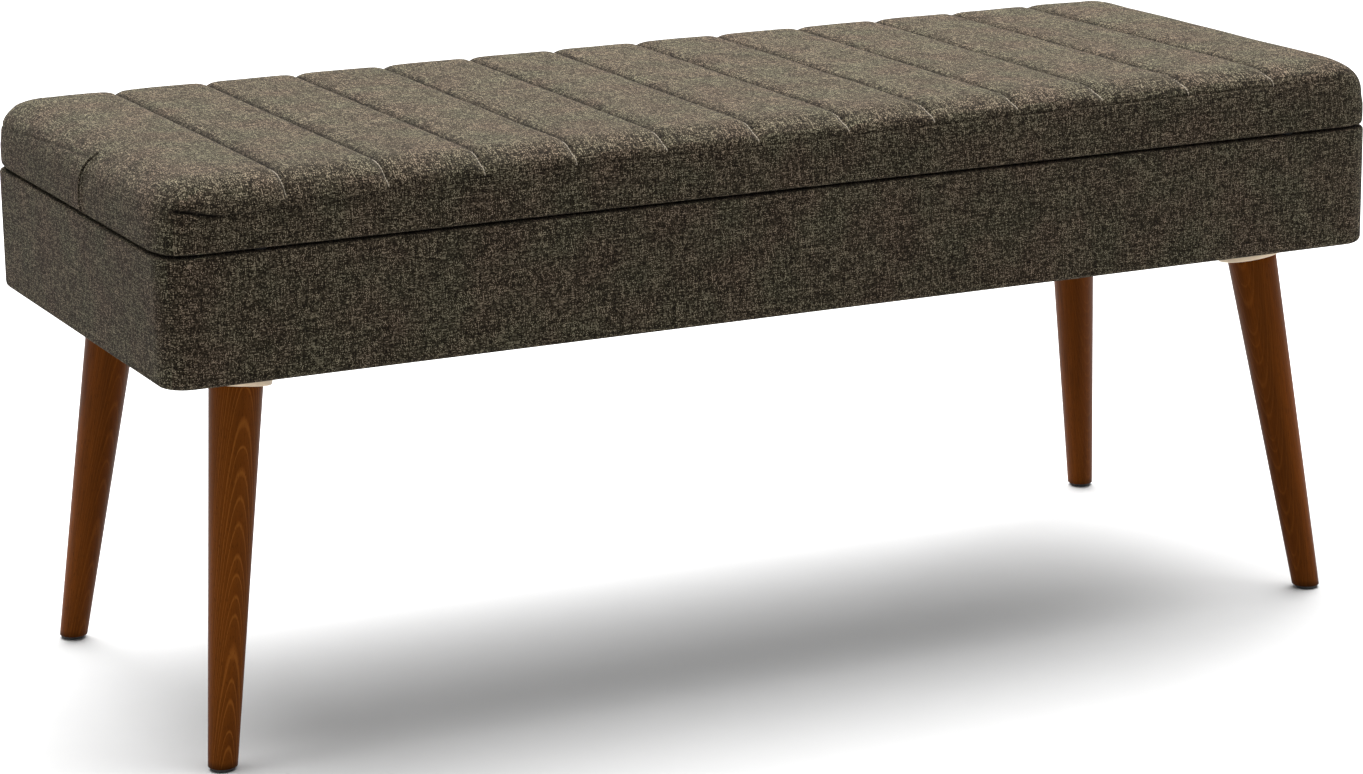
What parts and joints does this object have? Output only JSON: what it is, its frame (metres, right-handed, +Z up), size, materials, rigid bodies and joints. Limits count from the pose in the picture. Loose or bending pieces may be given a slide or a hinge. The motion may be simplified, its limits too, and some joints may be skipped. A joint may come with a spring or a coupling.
{
  "type": "storage bench",
  "caption": "Upholstered storage bench: shallow fabric-covered box on splayed tapered wooden legs, with a hinged, channel-stitched padded lid.",
  "frame": {"origin": "on the floor, under the middle of the box and lid covers", "axes": "+X along the bench's length, to the right as the front is faced; -Y out of the front; +Z up"},
  "size_m": [1.055, 0.4259, 0.457],
  "materials": {
    "upholstery": "melange grey-brown woven upholstery fabric, matt",
    "lining": "thin dark grey lining cloth",
    "dust_cover": "black non-woven cloth",
    "foam": null,
    "thread": "light grey-brown sewing thread",
    "walnut": "walnut-stained hardwood, satin lacquer",
    "beech": "plain pale beech, unfinished",
    "pine": "planed softwood",
    "chipboard": "raw chipboard",
    "steel": "zinc-plated steel",
    "rubber": "black rubber",
    "nylon": "black nylon"
  },
  "bodies": {
    "base": {"base_cover": "upholstery", "base_lining": "lining", "base_dust_cover": "dust_cover", "front_panel": "chipboard", "back_panel": "chipboard", "left_panel": "chipboard", "right_panel": "chipboard", "bottom_board": "chipboard", "corner_post_front_left": "pine", "leg_front_left": "walnut", "leg_wedge_front_left": "beech", "hanger_bolt_front_left": "steel", "tee_nut_front_left": "steel", "glide_front_left": "nylon", "corner_post_front_right": "pine", "leg_front_right": "walnut", "leg_wedge_front_right": "beech", "hanger_bolt_front_right": "steel", "tee_nut_front_right": "steel", "glide_front_right": "nylon", "corner_post_back_left": "pine", "leg_back_left": "walnut", "leg_wedge_back_left": "beech", "hanger_bolt_back_left": "steel", "tee_nut_back_left": "steel", "glide_back_left": "nylon", "corner_post_back_right": "pine", "leg_back_right": "walnut", "leg_wedge_back_right": "beech", "hanger_bolt_back_right": "steel", "tee_nut_back_right": "steel", "glide_back_right": "nylon", "bumper_left": "rubber", "hinge_base_leaf_left": "steel", "hinge_pin_left": "steel", "stay_plate_left": "steel", "hinge_screw_left_1": "steel", "hinge_screw_left_2": "steel", "bumper_right": "rubber", "hinge_base_leaf_right": "steel", "hinge_pin_right": "steel", "stay_plate_right": "steel", "hinge_screw_right_1": "steel", "hinge_screw_right_2": "steel"},
    "lid": {"lid_board": "chipboard", "lid_pad": "foam", "lid_cover": "upholstery", "lid_dust_cover": "dust_cover", "hinge_lid_leaf_left": "steel", "hinge_screw_left_3": "steel", "hinge_screw_left_4": "steel", "stay_bracket_left": "steel", "hinge_lid_leaf_right": "steel", "hinge_screw_right_3": "steel", "hinge_screw_right_4": "steel", "stay_bracket_right": "steel"},
    "stay_arm_left": {"stay_arm_left": "steel"},
    "stay_link_left": {"stay_link_left": "steel"},
    "stay_arm_right": {"stay_arm_right": "steel"},
    "stay_link_right": {"stay_link_right": "steel"}
  },
  "joints": [
    {"name": "lid_hinge", "type": "hinge", "parent": "base", "child": "lid", "pos_m": [0, 0.2132, 0.4002], "axis": [-1, 0, 0], "range_deg": [0, 95]},
    {"name": "stay_arm_pivot_left", "type": "hinge", "parent": "base", "child": "stay_arm_left", "pos_m": [-0.5039, 0.1352, 0.3652], "axis": [-1, 0, 0], "range_deg": [0, 95]},
    {"name": "stay_link_pivot_left", "type": "hinge", "parent": "lid", "child": "stay_link_left", "pos_m": [-0.5004, 0.0432, 0.3882], "axis": [-1, 0, 0], "range_deg": [-95, 0]},
    {"name": "stay_arm_pivot_right", "type": "hinge", "parent": "base", "child": "stay_arm_right", "pos_m": [0.5039, 0.1352, 0.3652], "axis": [-1, 0, 0], "range_deg": [0, 95]},
    {"name": "stay_link_pivot_right", "type": "hinge", "parent": "lid", "child": "stay_link_right", "pos_m": [0.5004, 0.0432, 0.3882], "axis": [-1, 0, 0], "range_deg": [-95, 0]}
  ],
  "couplings": [
    {"joint": "stay_arm_pivot_left", "follows": "lid_hinge", "ratio": 1},
    {"joint": "stay_link_pivot_left", "follows": "lid_hinge", "ratio": -1},
    {"joint": "stay_arm_pivot_right", "follows": "lid_hinge", "ratio": 1},
    {"joint": "stay_link_pivot_right", "follows": "lid_hinge", "ratio": -1}
  ]
}
